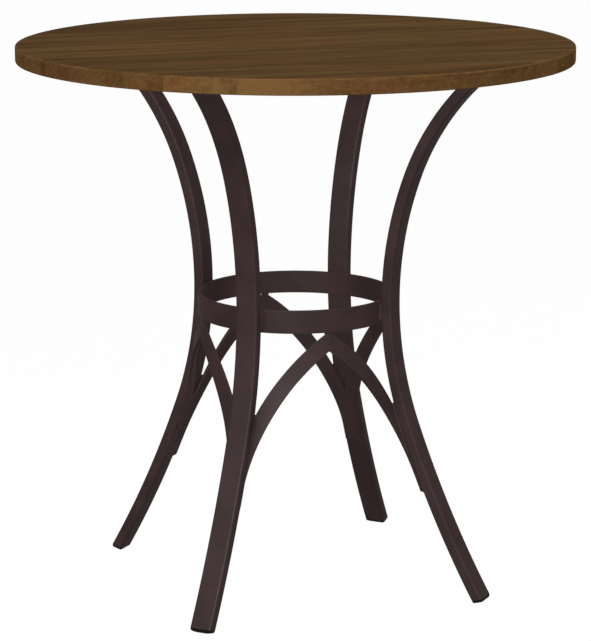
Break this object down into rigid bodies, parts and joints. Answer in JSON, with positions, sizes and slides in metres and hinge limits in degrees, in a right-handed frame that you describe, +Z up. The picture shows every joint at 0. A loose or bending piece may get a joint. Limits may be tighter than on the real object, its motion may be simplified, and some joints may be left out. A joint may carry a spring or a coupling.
{
  "type": "counter height table",
  "caption": "Round counter-height table: edge-glued wood top on waisted bent-tube legs joined by a hoop and pointed flat-bar arches.",
  "frame": {"origin": "on the floor under the middle of the round top", "axes": "+Z up, staves of the top run along X, legs on the diagonals of X and Y, front is -Y"},
  "size_m": [0.9143, 0.9144, 0.91],
  "materials": {
    "top_wood": "brown stain under a satin clear coat",
    "frame_steel": "dark brown powder coat, satin",
    "plate_steel": "dark brown powder coat, satin",
    "glide_plastic": "matte black moulded plastic",
    "screw_steel": "zinc-plated steel"
  },
  "bodies": {
    "root": {"back_arch_left_strap": "frame_steel", "back_arch_right_strap": "frame_steel", "front_arch_left_strap": "frame_steel", "front_arch_right_strap": "frame_steel", "glide_back_left": "glide_plastic", "glide_back_right": "glide_plastic", "glide_front_left": "glide_plastic", "glide_front_right": "glide_plastic", "left_arch_back_strap": "frame_steel", "left_arch_front_strap": "frame_steel", "leg_back_left": "frame_steel", "leg_back_right": "frame_steel", "leg_front_left": "frame_steel", "leg_front_right": "frame_steel", "leg_plate_back_left": "plate_steel", "leg_plate_back_right": "plate_steel", "leg_plate_front_left": "plate_steel", "leg_plate_front_right": "plate_steel", "right_arch_back_strap": "frame_steel", "right_arch_front_strap": "frame_steel", "top_screws": "screw_steel", "top_stave_01": "top_wood", "top_stave_02": "top_wood", "top_stave_03": "top_wood", "top_stave_04": "top_wood", "top_stave_05": "top_wood", "top_stave_06": "top_wood", "top_stave_07": "top_wood", "top_stave_08": "top_wood", "top_stave_09": "top_wood", "top_stave_10": "top_wood", "top_stave_11": "top_wood", "top_stave_12": "top_wood", "waist_hoop": "frame_steel"}
  },
  "joints": []
}
